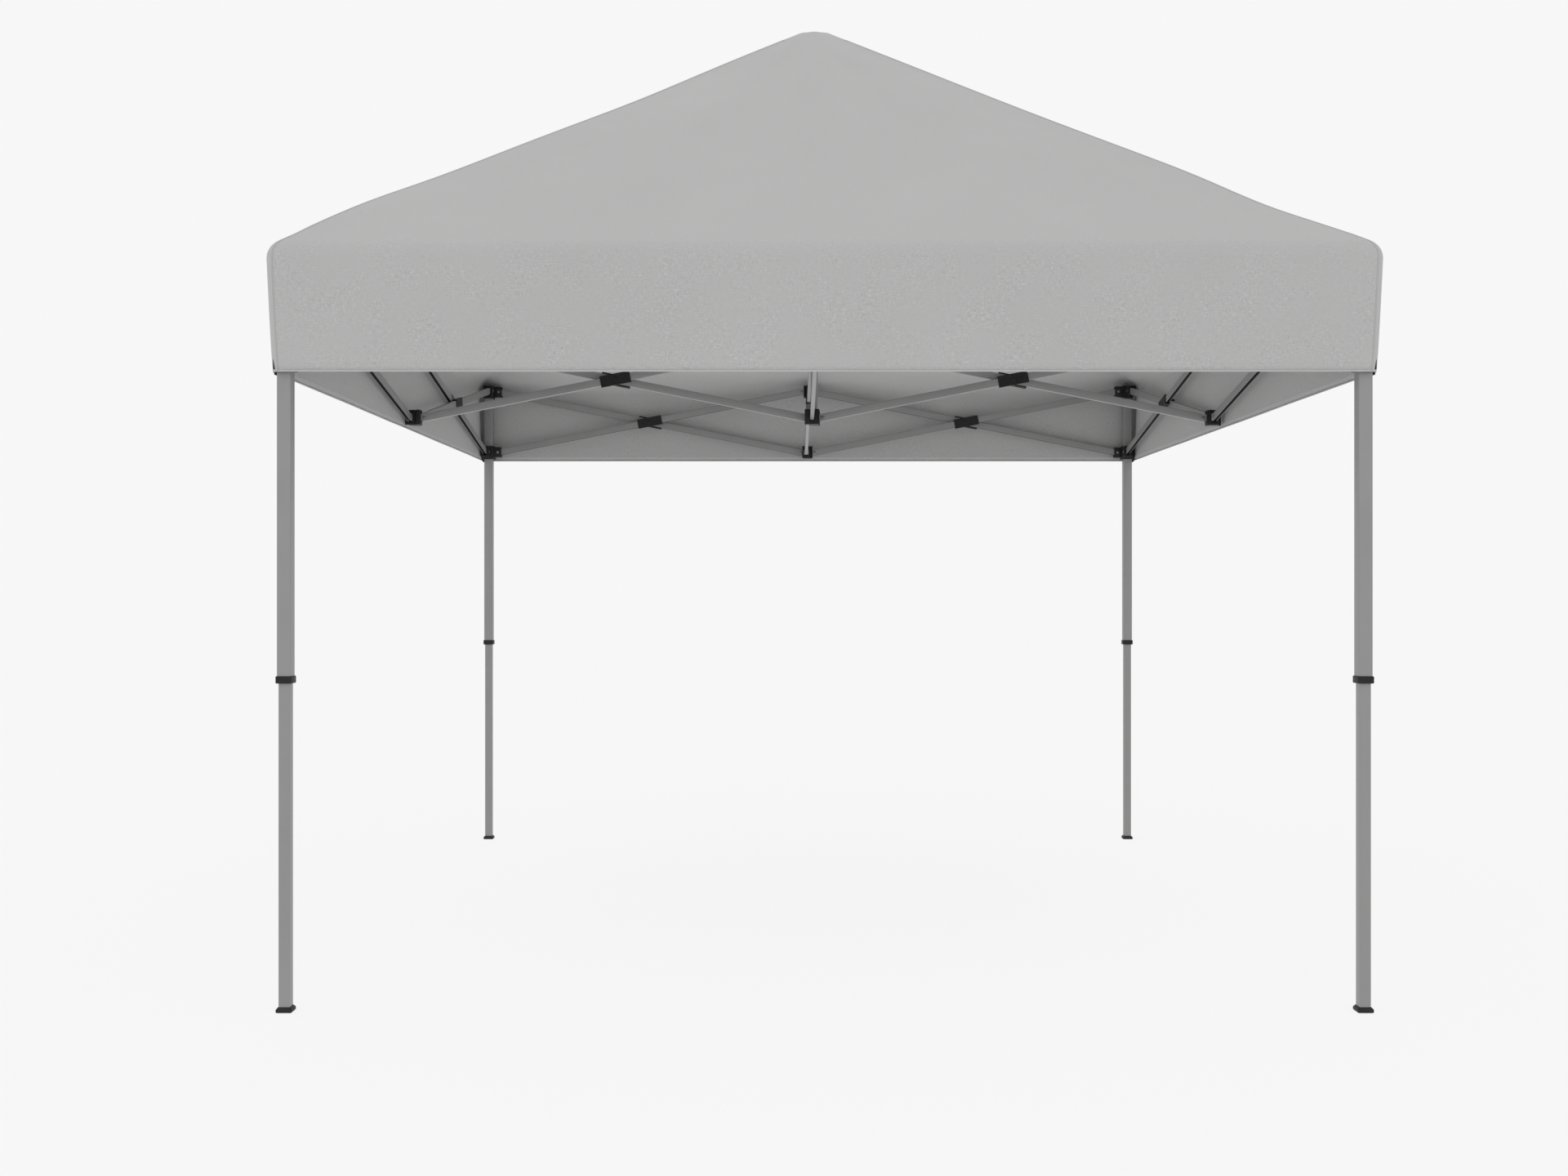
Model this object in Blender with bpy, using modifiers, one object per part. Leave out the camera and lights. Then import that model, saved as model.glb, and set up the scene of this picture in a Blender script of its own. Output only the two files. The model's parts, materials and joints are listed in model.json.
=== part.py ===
"""Pop up canopy: a square fabric roof on a folding scissor frame with four telescopic legs.

Metres, +Z up. The ground is z = 0 and the canopy's centre is x = y = 0. -Y is the front.
Every truss is an X of two bars. A "u" bar starts high at its inner end and runs down outwards,
an "l" bar starts low at its inner end and runs up outwards. They cross at their middles.
"""

import math

import bmesh
import bpy
from mathutils import Matrix, Vector

# ---- driving dimensions -------------------------------------------------------------------
NAME = "pop_up_canopy"
GAP = 0.0003

SPAN = 1.460            # leg axis to the centre lines
PIVOT_TOP = 2.044       # height of every upper pivot
PIVOT_LOW = 1.767       # height of every lower pivot
LEG_PIVOT = 0.044       # leg axis to a leg's pivots
SIDE_PIVOT = 0.030      # middle bracket axis to its side pivots, and the hub's pivots
TRUSS_RUN = SPAN - LEG_PIVOT - SIDE_PIVOT
TRUSS_RISE = PIVOT_TOP - PIVOT_LOW
BAR_LENGTH = math.hypot(TRUSS_RUN, TRUSS_RISE)
BAR_ANGLE = math.atan2(TRUSS_RISE, TRUSS_RUN)

BAR_HIGH = 0.028
BAR_WIDE = 0.014
BAR_WALL = 0.0012
BAR_SIDE = 0.0085       # sideways offset of each bar of an X
SLEEVE = (0.110, 0.042, 0.0030)     # length, height, thickness outside the bar
PIN_R = 0.0035
HOLE_R = 0.0041

OUTER_LEG = 0.038
OUTER_WALL = 0.0015
OUTER_BOTTOM = 0.892
OUTER_TOP = 2.064
INNER_LEG = 0.031
INNER_WALL = 0.0015
INNER_TOP = 1.510
COLLAR = (0.044, 0.889, 0.909)      # width, bottom, top
FOOT = (0.044, 0.015)               # width, height

SLIDER = (0.054, 0.046, 1.727, 1.7945)      # outside, bore, bottom, top
CAP = (0.046, 2.012, 2.0715)                # leg top bracket: outside, bottom, top
CHEEK = 0.0105          # thickness of a bracket's cheek plates
SLOT = 0.0150           # slot between the cheeks
CHEEK_END = 0.0145      # cheeks beyond the pivot
CHEEK_HALF = 0.0275     # cheeks above and below the pivot

POST = 0.030            # middle bracket's post width
POST_UP = (2.0165, 2.0715)
POST_DOWN = (1.7395, 1.7945)
HUB = 0.0312
POLE_R = 0.0125
POLE_BORE = 0.0129
POLE_BOTTOM = 1.745
POLE_TOP = 3.165

BUTTON_R = 0.0050
BUTTON_HOLE_R = 0.0054

EAVE_HALF = 1.510       # canopy half width at the eave
HEM_HALF = 1.498        # canopy half width at the valance's lower edge
EAVE_Z = 2.080
HEM_Z = 1.730
PEAK_Z = 3.171
FABRIC = 0.0016

GREY = (0.275, 0.280, 0.290)
BLACK = (0.030, 0.031, 0.034)
CLOTH = (0.480, 0.490, 0.505)

CORNERS = {"fl": (-1, -1), "fr": (1, -1), "bl": (-1, 1), "br": (1, 1)}
MIDS = {"front": -90.0, "right": 0.0, "back": 90.0, "left": 180.0}
SIDES = {
    "front": {"fl": 180.0, "fr": 0.0},
    "back": {"bl": 180.0, "br": 0.0},
    "left": {"fl": -90.0, "bl": 90.0},
    "right": {"fr": -90.0, "br": 90.0},
}

# ---- scene --------------------------------------------------------------------------------
for old in list(bpy.data.objects):
    bpy.data.objects.remove(old, do_unlink=True)

PARTS = bpy.data.collections.new(NAME)
bpy.context.scene.collection.children.link(PARTS)


def material(name, color, roughness, metallic):
    """A Principled material."""
    mat = bpy.data.materials.new(name)
    mat.use_nodes = True
    shader = mat.node_tree.nodes["Principled BSDF"]
    shader.inputs["Base Color"].default_value = (*color, 1.0)
    shader.inputs["Roughness"].default_value = roughness
    shader.inputs["Metallic"].default_value = metallic
    return mat


METAL = material("powder_coated_metal", GREY, 0.45, 0.35)
PLASTIC = material("black_plastic", BLACK, 0.50, 0.0)
FABRIC_MAT = material("canopy_fabric", CLOTH, 0.90, 0.0)


# ---- solids -------------------------------------------------------------------------------
def box(x0, x1, y0, y1, z0, z1):
    """A box between two corners, as a bmesh."""
    bm = bmesh.new()
    bmesh.ops.create_cube(bm, size=1.0)
    bmesh.ops.scale(bm, vec=(x1 - x0, y1 - y0, z1 - z0), verts=bm.verts)
    centre = ((x0 + x1) / 2, (y0 + y1) / 2, (z0 + z1) / 2)
    bmesh.ops.translate(bm, vec=centre, verts=bm.verts)
    return bm


def square(width, z0, z1):
    """A square upright prism on the z axis."""
    half = width / 2
    return box(-half, half, -half, half, z0, z1)


def rounded(bm, amount, segments, only=None):
    """Bevel a solid's edges, or only those that a test accepts."""
    edges = [e for e in bm.edges if only is None or only(e)]
    bmesh.ops.bevel(
        bm, geom=edges, offset=amount, segments=segments, profile=0.5, affect="EDGES",
        clamp_overlap=True,
    )
    return bm


def upright(edge):
    """Whether an edge runs along z."""
    along = edge.verts[1].co - edge.verts[0].co
    return abs(along.z) > 0.99 * along.length


def crosswise(edge):
    """Whether an edge runs along y."""
    along = edge.verts[1].co - edge.verts[0].co
    return abs(along.y) > 0.99 * along.length


def rod(radius, start, end, segments=8):
    """A round bar between two points."""
    start = Vector(start)
    end = Vector(end)
    along = end - start
    bm = bmesh.new()
    bmesh.ops.create_cone(
        bm, cap_ends=True, segments=segments, radius1=radius, radius2=radius,
        depth=along.length,
    )
    turn = along.to_track_quat("Z", "Y").to_matrix().to_4x4()
    place = Matrix.Translation((start + end) / 2) @ turn
    bmesh.ops.transform(bm, matrix=place, verts=bm.verts)
    return bm


def turned(bm, degrees):
    """Turn a solid about the z axis."""
    turn = Matrix.Rotation(math.radians(degrees), 4, "Z")
    bmesh.ops.transform(bm, matrix=turn, verts=bm.verts)
    return bm


def as_object(bm, name):
    """Make a temporary object from a bmesh."""
    mesh = bpy.data.meshes.new(name)
    bmesh.ops.recalc_face_normals(bm, faces=bm.faces)
    bm.to_mesh(mesh)
    bm.free()
    obj = bpy.data.objects.new(name, mesh)
    bpy.context.scene.collection.objects.link(obj)
    return obj


def combine(base, steps, name):
    """Apply exact Booleans in order and return one finished mesh."""
    obj = as_object(base, name)
    tools = []
    for kind, bm in steps:
        tool = as_object(bm, name + "_tool")
        modifier = obj.modifiers.new("step", "BOOLEAN")
        modifier.operation = kind
        modifier.solver = "EXACT"
        modifier.object = tool
        tools.append(tool)
    graph = bpy.context.evaluated_depsgraph_get()
    mesh = bpy.data.meshes.new_from_object(obj.evaluated_get(graph))
    for extra in [obj] + tools:
        bpy.data.objects.remove(extra, do_unlink=True)
    clean = bmesh.new()
    clean.from_mesh(mesh)
    bmesh.ops.remove_doubles(clean, verts=clean.verts, dist=1e-6)
    bmesh.ops.dissolve_limit(
        clean, angle_limit=math.radians(0.2), verts=clean.verts, edges=clean.edges,
    )
    bmesh.ops.triangulate(clean, faces=[f for f in clean.faces if len(f.verts) > 4])
    clean.to_mesh(mesh)
    clean.free()
    return mesh


def place(mesh, name, mat, at=(0, 0, 0), yaw=0.0, pitch=0.0, smooth=True):
    """Add one named part: its own copy of a mesh, set down at a point and turned."""
    mesh = mesh.copy()
    mesh.name = name
    mesh.materials.clear()
    mesh.materials.append(mat)
    if smooth:
        mesh.shade_smooth()
        mesh.set_sharp_from_angle(angle=math.radians(35))
    obj = bpy.data.objects.new(name, mesh)
    obj.location = at
    obj.rotation_euler = (0.0, pitch, math.radians(yaw))
    PARTS.objects.link(obj)
    return obj


# ---- bars ---------------------------------------------------------------------------------
def bar_mesh(middle, side, with_pin, open_below):
    """One truss bar along x: a tube or a channel, with round ends, eyes and a crossing sleeve.

    middle is where the crossing lies along x, and side is +1 or -1 for the sleeve's thick side.
    The bars along the sides are channels open below, and the bars to the hub are closed tubes.
    """
    half = BAR_LENGTH / 2
    end = BAR_HIGH / 2
    wide = BAR_WIDE / 2
    body = box(middle - half - end, middle + half + end, -wide, wide, -end, end)
    rounded(body, end * 0.98, 3, crosswise)
    thin = BAR_SIDE - 0.0004
    thick = wide + SLEEVE[2] + 0.001
    y0, y1 = (-thin, thick) if side > 0 else (-thick, thin)
    sleeve = box(
        middle - SLEEVE[0] / 2, middle + SLEEVE[0] / 2, y0, y1, -SLEEVE[1] / 2, SLEEVE[1] / 2,
    )
    rounded(sleeve, 0.004, 1, crosswise)
    floor = -end - GAP if open_below else -end + BAR_WALL
    hollow = box(
        middle - half - 0.05, middle + half + 0.05, -wide + BAR_WALL, wide - BAR_WALL,
        floor, end - BAR_WALL,
    )
    steps = [("UNION", sleeve), ("DIFFERENCE", hollow)]
    for x in (middle - half, middle + half):
        steps.append(("DIFFERENCE", rod(HOLE_R, (x, -0.03, 0), (x, 0.03, 0))))
    if with_pin:
        far = -side * (2 * BAR_SIDE + thick + 0.0015)
        pin = rod(PIN_R, (middle, side * (thick + 0.0015), 0), (middle, far, 0))
        steps.append(("UNION", pin))
    else:
        steps.append(("DIFFERENCE", rod(HOLE_R, (middle, -0.03, 0), (middle, 0.03, 0))))
    return combine(body, steps, "bar")


U_BARS = [bar_mesh(BAR_LENGTH / 2, 1, True, open_below) for open_below in (False, True)]
L_BARS = [bar_mesh(0.0, -1, False, open_below) for open_below in (False, True)]


def truss(name, centre, yaw, offset, open_below):
    """The two bars of one X, which runs outwards from a bracket's axis along yaw."""
    turn = Matrix.Rotation(math.radians(yaw), 3, "Z")
    centre = Vector(centre)
    inner = turn @ Vector((offset, BAR_SIDE, PIVOT_TOP)) + centre
    place(U_BARS[open_below], name + "_u", METAL, inner, yaw, BAR_ANGLE)
    height = (PIVOT_TOP + PIVOT_LOW) / 2
    cross = turn @ Vector((offset + TRUSS_RUN / 2, -BAR_SIDE, height)) + centre
    place(L_BARS[open_below], name + "_l", METAL, cross, yaw, -BAR_ANGLE)


# ---- brackets -----------------------------------------------------------------------------
def clevis(steps, yaw, face, pivot, lateral, height, opens_down):
    """Add one two-cheek bracket with its pin to a list of Boolean steps.

    It grows from a body face along yaw, and holds a bar at the lateral offset.
    """
    half = SLOT / 2 + CHEEK
    low = height - CHEEK_HALF
    high = height + CHEEK_HALF
    block = box(face - 0.004, pivot + CHEEK_END, lateral - half, lateral + half, low, high)
    outer = pivot + CHEEK_END

    def outer_crosswise(edge):
        return crosswise(edge) and edge.verts[0].co.x > outer - 1e-5

    rounded(block, 0.006, 2, outer_crosswise)
    reach = pivot - BAR_HIGH / 2 - 0.0008
    under = (low - 0.05, height + 0.0146) if opens_down else (height - 0.0146, high + 0.05)
    slot = box(reach, outer + 0.05, lateral - SLOT / 2, lateral + SLOT / 2, *under)
    head = half + 0.002
    pin = rod(PIN_R, (pivot, lateral - head, height), (pivot, lateral + head, height))
    steps.append(("UNION", turned(block, yaw)))
    steps.append(("SLOT", turned(slot, yaw)))
    steps.append(("PIN", turned(pin, yaw)))


def bracket(base, arms, bores, opens_down, height, name):
    """A body with clevises: blocks first, then slots and bores, then pins."""
    parts = []
    for yaw, face, pivot, lateral in arms:
        clevis(parts, yaw, face, pivot, lateral, height, opens_down)
    steps = [("UNION", bm) for kind, bm in parts if kind == "UNION"]
    steps += [("DIFFERENCE", bm) for kind, bm in parts if kind == "SLOT"]
    steps += [("DIFFERENCE", bm) for bm in bores]
    steps += [("UNION", bm) for kind, bm in parts if kind == "PIN"]
    return combine(base, steps, name)


def corner_arms(corner, lateral_sign, face):
    """The two clevises of a corner bracket, which point inwards along x and y."""
    sx, sy = CORNERS[corner]
    arms = []
    for yaw_out in (0.0 if sx > 0 else 180.0, 90.0 if sy > 0 else -90.0):
        arms.append((yaw_out + 180.0, face, LEG_PIVOT, -lateral_sign * BAR_SIDE))
    return arms


def leg_top(corner):
    """The black cap on an outer leg, which holds the two l bars."""
    base = rounded(square(CAP[0], CAP[1], CAP[2]), 0.004, 1, upright)
    bore = square(OUTER_LEG + 2 * GAP, CAP[1] - 0.01, OUTER_TOP + GAP)
    arms = corner_arms(corner, -1, CAP[0] / 2)
    mesh = bracket(base, arms, [bore], True, PIVOT_TOP, "leg_top")
    sx, sy = CORNERS[corner]
    place(mesh, "leg_bracket_" + corner, PLASTIC, (sx * SPAN, sy * SPAN, 0))


def slider(corner):
    """The black slider round an outer leg, which holds the two u bars and a release button."""
    sx, sy = CORNERS[corner]
    half = SLIDER[0] / 2
    middle = (SLIDER[2] + SLIDER[3]) / 2
    base = rounded(square(SLIDER[0], SLIDER[2], SLIDER[3]), 0.004, 1, upright)
    arms = corner_arms(corner, 1, half)
    bore = square(SLIDER[1], SLIDER[2] - 0.01, SLIDER[3] + 0.01)
    boss = box(half - 0.002, half + 0.004, -0.011, 0.011, middle - 0.02, middle + 0.02)
    hole = rod(BUTTON_HOLE_R, (0.02, 0, middle), (0.05, 0, middle), 16)
    facing = 0.0 if sx > 0 else 180.0
    parts = []
    for yaw, face, pivot, lateral in arms:
        clevis(parts, yaw, face, pivot, lateral, PIVOT_LOW, False)
    steps = [("UNION", turned(boss, facing))]
    steps += [("UNION", bm) for kind, bm in parts if kind == "UNION"]
    steps += [("DIFFERENCE", bm) for kind, bm in parts if kind == "SLOT"]
    steps += [("DIFFERENCE", bore), ("DIFFERENCE", turned(hole, facing))]
    steps += [("UNION", bm) for kind, bm in parts if kind == "PIN"]
    mesh = combine(base, steps, "slider")
    place(mesh, "slider_" + corner, PLASTIC, (sx * SPAN, sy * SPAN, 0))
    button = combine(rod(BUTTON_R, (-0.0040, 0, 0), (0.0040, 0, 0), 16), [], "button")
    at = (sx * (SPAN + 0.0302), sy * SPAN, middle)
    place(button, "slider_button_" + corner, PLASTIC, at)


def middle_bracket(side, upper):
    """A bracket half way along a side: two side clevises and one towards the hub."""
    yaw = MIDS[side]
    z0, z1 = POST_UP if upper else POST_DOWN
    height = PIVOT_TOP if upper else PIVOT_LOW
    base = rounded(square(POST, z0, z1), 0.003, 1, upright)
    sign = 1 if upper else -1
    arms = []
    for outward in SIDES[side].values():
        arms.append((outward, POST / 2, SIDE_PIVOT, sign * BAR_SIDE))
    arms.append((yaw + 180.0, POST / 2, LEG_PIVOT, sign * BAR_SIDE))
    mesh = bracket(base, arms, [], upper, height, "middle")
    turn = math.radians(yaw)
    at = (SPAN * math.cos(turn), SPAN * math.sin(turn), 0)
    label = "mid_upper_" if upper else "mid_lower_"
    place(mesh, label + side, PLASTIC, at)


def hub(upper):
    """The centre hub. The upper one is bored right through for the peak pole."""
    z0, z1 = POST_UP if upper else POST_DOWN
    height = PIVOT_TOP if upper else PIVOT_LOW
    base = rounded(square(HUB, z0, z1), 0.003, 1, upright)
    sign = 1 if upper else -1
    arms = [(yaw, HUB / 2, SIDE_PIVOT, sign * BAR_SIDE) for yaw in MIDS.values()]
    bottom = z0 - 0.01 if upper else POLE_BOTTOM - GAP
    bore = rod(POLE_BORE, (0, 0, bottom), (0, 0, z1 + 0.01), 24)
    mesh = bracket(base, arms, [bore], upper, height, "hub")
    place(mesh, "hub_upper" if upper else "hub_lower", PLASTIC)


# ---- legs and pole ------------------------------------------------------------------------
def outer_leg(corner):
    """A square tube with the height collar closed on to the inner leg at its lower end."""
    sx, sy = CORNERS[corner]
    base = rounded(square(OUTER_LEG, OUTER_BOTTOM, OUTER_TOP), 0.003, 1, upright)
    collar = rounded(square(*COLLAR), 0.003, 1, upright)
    inside = square(OUTER_LEG - 2 * OUTER_WALL, COLLAR[2] - 0.004, OUTER_TOP + 0.01)
    throat = square(INNER_LEG + 2 * GAP, COLLAR[1] - 0.01, COLLAR[2])
    middle = (COLLAR[1] + COLLAR[2]) / 2
    facing = 0.0 if sx > 0 else 180.0
    hole = rod(BUTTON_HOLE_R, (0.010, 0, middle), (0.030, 0, middle), 16)
    steps = [
        ("UNION", collar),
        ("DIFFERENCE", inside),
        ("DIFFERENCE", throat),
        ("DIFFERENCE", turned(hole, facing)),
    ]
    mesh = combine(base, steps, "outer_leg")
    place(mesh, "outer_leg_" + corner, METAL, (sx * SPAN, sy * SPAN, 0))
    button = combine(rod(BUTTON_R, (-0.0019, 0, 0), (0.0019, 0, 0), 16), [], "button")
    at = (sx * (SPAN + 0.0201), sy * SPAN, middle)
    place(button, "leg_button_" + corner, PLASTIC, at)


def inner_leg(corner):
    """The square tube that slides in the outer leg, on its foot."""
    sx, sy = CORNERS[corner]
    base = rounded(square(INNER_LEG, 0.004, INNER_TOP), 0.002, 1, upright)
    foot = rounded(square(FOOT[0], 0.0, FOOT[1]), 0.003, 1)
    inside = square(INNER_LEG - 2 * INNER_WALL, FOOT[1] - 0.002, INNER_TOP + 0.01)
    mesh = combine(base, [("UNION", foot), ("DIFFERENCE", inside)], "inner_leg")
    place(mesh, "inner_leg_" + corner, METAL, (sx * SPAN, sy * SPAN, 0))


def peak_pole():
    """The tube that lifts the roof's peak. Its closed end is no wider, so it sinks into the hub."""
    base = rod(POLE_R, (0, 0, POLE_BOTTOM), (0, 0, POLE_TOP), 24)

    def at_the_top(edge):
        return min(edge.verts[0].co.z, edge.verts[1].co.z) > POLE_TOP - 1e-5

    rounded(base, 0.005, 2, at_the_top)
    inside = rod(POLE_R - BAR_WALL, (0, 0, POLE_BOTTOM - 0.01), (0, 0, POLE_TOP - 0.02), 24)
    mesh = combine(base, [("DIFFERENCE", inside)], "peak_pole")
    place(mesh, "peak_pole", METAL)


# ---- canopy -------------------------------------------------------------------------------
def ring(bm, half, corner, z, cuts):
    """A rounded square of vertices at one height, with cuts points along each straight side."""
    verts = []
    straight = half - corner
    for side in range(4):
        turn = Matrix.Rotation(side * math.pi / 2, 3, "Z")
        for k in range(cuts + 1):
            y = -straight + 2 * straight * k / cuts
            verts.append(bm.verts.new(turn @ Vector((half, y, z))))
        for k in range(1, 4):
            a = k * math.pi / 8
            x = straight + corner * math.cos(a)
            y = straight + corner * math.sin(a)
            verts.append(bm.verts.new(turn @ Vector((x, y, z))))
    return verts


def canopy():
    """The fabric roof and valance: one thin closed sheet, open underneath."""
    bm = bmesh.new()
    slope = EAVE_HALF - 0.045
    rings = [ring(bm, HEM_HALF, 0.030, HEM_Z, 6)]
    rings.append(ring(bm, EAVE_HALF, 0.040, EAVE_Z - 0.045, 6))
    rings.append(ring(bm, EAVE_HALF - 0.006, 0.040, EAVE_Z - 0.018, 6))
    rings.append(ring(bm, EAVE_HALF - 0.024, 0.040, EAVE_Z, 6))
    for k in range(1, 8):
        part = k / 8
        half = slope * (1 - part) + 0.05 * part
        rise = PEAK_Z - 0.012 - EAVE_Z
        sag = -0.020 * math.sin(math.pi * part)
        rings.append(ring(bm, half, 0.028, EAVE_Z + rise * part + sag, 6))
    rings.append(ring(bm, 0.060, 0.028, PEAK_Z - 0.012, 6))
    rings.append(ring(bm, 0.036, 0.020, PEAK_Z - FABRIC, 6))
    for low, high in zip(rings, rings[1:]):
        count = len(low)
        for k in range(count):
            n = (k + 1) % count
            bm.faces.new((low[k], low[n], high[n], high[k]))
    bm.faces.new(rings[-1])
    bmesh.ops.recalc_face_normals(bm, faces=bm.faces)
    obj = as_object(bm, "canopy")
    shell = obj.modifiers.new("cloth", "SOLIDIFY")
    shell.thickness = FABRIC
    shell.offset = 1.0
    graph = bpy.context.evaluated_depsgraph_get()
    mesh = bpy.data.meshes.new_from_object(obj.evaluated_get(graph))
    bpy.data.objects.remove(obj, do_unlink=True)
    place(mesh, "canopy_cover", FABRIC_MAT)


# ---- build --------------------------------------------------------------------------------
for corner_name in CORNERS:
    outer_leg(corner_name)
    inner_leg(corner_name)
    leg_top(corner_name)
    slider(corner_name)

for side_name, side_yaw in MIDS.items():
    middle_bracket(side_name, True)
    middle_bracket(side_name, False)
    truss("centre_" + side_name, (0, 0, 0), side_yaw, SIDE_PIVOT, False)
    middle = Matrix.Rotation(math.radians(side_yaw), 3, "Z") @ Vector((SPAN, 0, 0))
    for corner_name, out_yaw in SIDES[side_name].items():
        truss("side_" + side_name + "_" + corner_name, middle, out_yaw, SIDE_PIVOT, True)

hub(True)
hub(False)
peak_pole()
canopy()
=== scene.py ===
"""The looks of a pop up canopy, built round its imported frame.

Every place comes from the frame's nodes. New pieces are surfaces computed with numpy: a profile
carried along a path, or a height field over a grid. Metres, +Z up, -Y the front.
"""

import json
import math

import bpy
import numpy as np
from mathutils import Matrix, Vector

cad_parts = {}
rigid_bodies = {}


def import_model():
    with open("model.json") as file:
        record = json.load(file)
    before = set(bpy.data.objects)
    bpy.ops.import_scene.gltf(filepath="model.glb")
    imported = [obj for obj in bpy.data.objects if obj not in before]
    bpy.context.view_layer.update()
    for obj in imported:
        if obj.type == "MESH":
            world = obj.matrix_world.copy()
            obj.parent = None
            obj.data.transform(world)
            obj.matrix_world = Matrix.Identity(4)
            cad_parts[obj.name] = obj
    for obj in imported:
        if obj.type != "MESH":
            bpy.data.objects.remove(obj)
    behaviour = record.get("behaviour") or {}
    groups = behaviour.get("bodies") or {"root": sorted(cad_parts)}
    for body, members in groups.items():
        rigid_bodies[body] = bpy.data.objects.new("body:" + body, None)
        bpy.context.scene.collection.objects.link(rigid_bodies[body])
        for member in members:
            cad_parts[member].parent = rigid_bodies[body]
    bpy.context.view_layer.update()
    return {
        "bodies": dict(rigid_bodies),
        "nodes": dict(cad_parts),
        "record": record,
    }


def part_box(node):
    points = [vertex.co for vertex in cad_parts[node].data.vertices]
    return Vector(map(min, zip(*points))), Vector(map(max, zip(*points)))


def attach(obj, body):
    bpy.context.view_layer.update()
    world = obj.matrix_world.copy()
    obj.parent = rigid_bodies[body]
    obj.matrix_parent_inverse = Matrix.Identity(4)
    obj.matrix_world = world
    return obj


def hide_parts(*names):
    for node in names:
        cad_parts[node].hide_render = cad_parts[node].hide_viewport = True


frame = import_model()

bl_info = {
    "name": "Pop up canopy",
    "version": (1, 0, 0),
    "blender": (4, 5, 0),
    "location": "View3D > Sidebar > Canopy",
    "description": "Fabric, tubes, brackets and stage of a pop up canopy",
    "category": "Object",
}

CORNERS = {"fl": (-1, -1), "fr": (1, -1), "bl": (-1, 1), "br": (1, 1)}
MIDS = {"front": -90.0, "right": 0.0, "back": 90.0, "left": 180.0}
SIDE_CORNERS = {
    "front": ("fl", "fr"), "back": ("bl", "br"), "left": ("fl", "bl"), "right": ("fr", "br"),
}
UPRIGHT = ((1, 0, 0), (0, 1, 0), (0, 0, 1))


# ---- measures taken from the frame ----
def low(node):
    """Lowest corner of a node, as an array."""
    return np.array(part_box(node)[0], float)


def high(node):
    """Highest corner of a node, as an array."""
    return np.array(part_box(node)[1], float)


def ends(node):
    """The heights of a node's bottom and top."""
    return low(node)[2], high(node)[2]


PIVOTS = {joint["name"]: joint.get("pos_m") for joint in frame["record"]["behaviour"]["joints"]}
BAR_SIDE, HUB_PIVOT, PIVOT_TOP = np.abs(PIVOTS["fold"]).tolist()
_, OUTER_PIVOT, PIVOT_LOW = np.abs(PIVOTS["keep_lower_front"]).tolist()
SPAN = float(low("inner_leg_fr")[0] + high("inner_leg_fr")[0]) / 2    # leg to the centre lines
RUN = OUTER_PIVOT - HUB_PIVOT
LEG_PIVOT = SPAN - OUTER_PIVOT
BAR_LENGTH = math.hypot(RUN, PIVOT_TOP - PIVOT_LOW)
HEM_Z, PEAK_Z = (float(z) for z in ends("canopy_cover"))


# ---- user settings ----
class CanopyColours(bpy.types.PropertyGroup):
    """Colours of the finishes."""

    fabric: bpy.props.FloatVectorProperty(
        name="Fabric", description="Colour of the roof and valance", subtype="COLOR",
        default=(0.4435, 0.4435, 0.4415), min=0.0, max=1.0,
    )
    coating: bpy.props.FloatVectorProperty(
        name="Powder coat", description="Colour of the legs and bars", subtype="COLOR",
        default=(0.264, 0.264, 0.2625), min=0.0, max=1.0,
    )
    plastic: bpy.props.FloatVectorProperty(
        name="Plastic", description="Colour of brackets, collars and feet", subtype="COLOR",
        default=(0.0130, 0.0130, 0.0135), min=0.0, max=1.0,
    )
    steel: bpy.props.FloatVectorProperty(
        name="Rivets", description="Colour of the plated rivets", subtype="COLOR",
        default=(0.200, 0.200, 0.204), min=0.0, max=1.0,
    )


class CanopySizes(bpy.types.PropertyGroup):
    """Sizes a user would change. The rest follows the frame."""

    eave_height: bpy.props.FloatProperty(
        name="Eave height", description="Height at which the valance starts to curve inwards",
        default=2.0345, unit="LENGTH",
    )
    eave_half: bpy.props.FloatProperty(
        name="Eave half width", description="Half width of the cloth at the eave",
        default=1.5045, unit="LENGTH",
    )
    hem_half: bpy.props.FloatProperty(
        name="Hem half width", description="Half width of the valance at its hem",
        default=1.4915, unit="LENGTH",
    )
    roof_slope: bpy.props.FloatProperty(
        name="Roof slope", description="Rise of the roof over its run", default=0.749,
    )
    thickness: bpy.props.FloatProperty(
        name="Fabric thickness", description="Thickness of the coated fabric",
        default=0.0012, unit="LENGTH",
    )
    tube_corner: bpy.props.FloatProperty(
        name="Tube corner", description="Outside corner radius of the square tubes",
        default=0.0035, unit="LENGTH",
    )
    eye_height: bpy.props.FloatProperty(
        name="Eye height", description="Height of the camera", default=1.147, unit="LENGTH",
    )
    eye_distance: bpy.props.FloatProperty(
        name="Eye distance", description="Camera to the front legs", default=4.237, unit="LENGTH",
    )


# ---- surfaces ----
def grid_faces(rows, columns, closed_columns=True):
    """Quads of a grid of points, row by row. closed_columns joins the last column to the first."""
    r = np.arange(rows - 1)[:, None] * columns
    c = np.arange(columns if closed_columns else columns - 1)[None, :]
    n = (c + 1) % columns
    quads = [r + c, r + n, r + columns + n, r + columns + c]
    return np.stack(np.broadcast_arrays(*quads), axis=-1).reshape(-1, 4).tolist()


def fan(ring, pole):
    """Triangles from a closed ring of point numbers to one point."""
    return np.stack([ring, np.roll(ring, -1), np.full_like(ring, pole)], axis=1).tolist()


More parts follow.
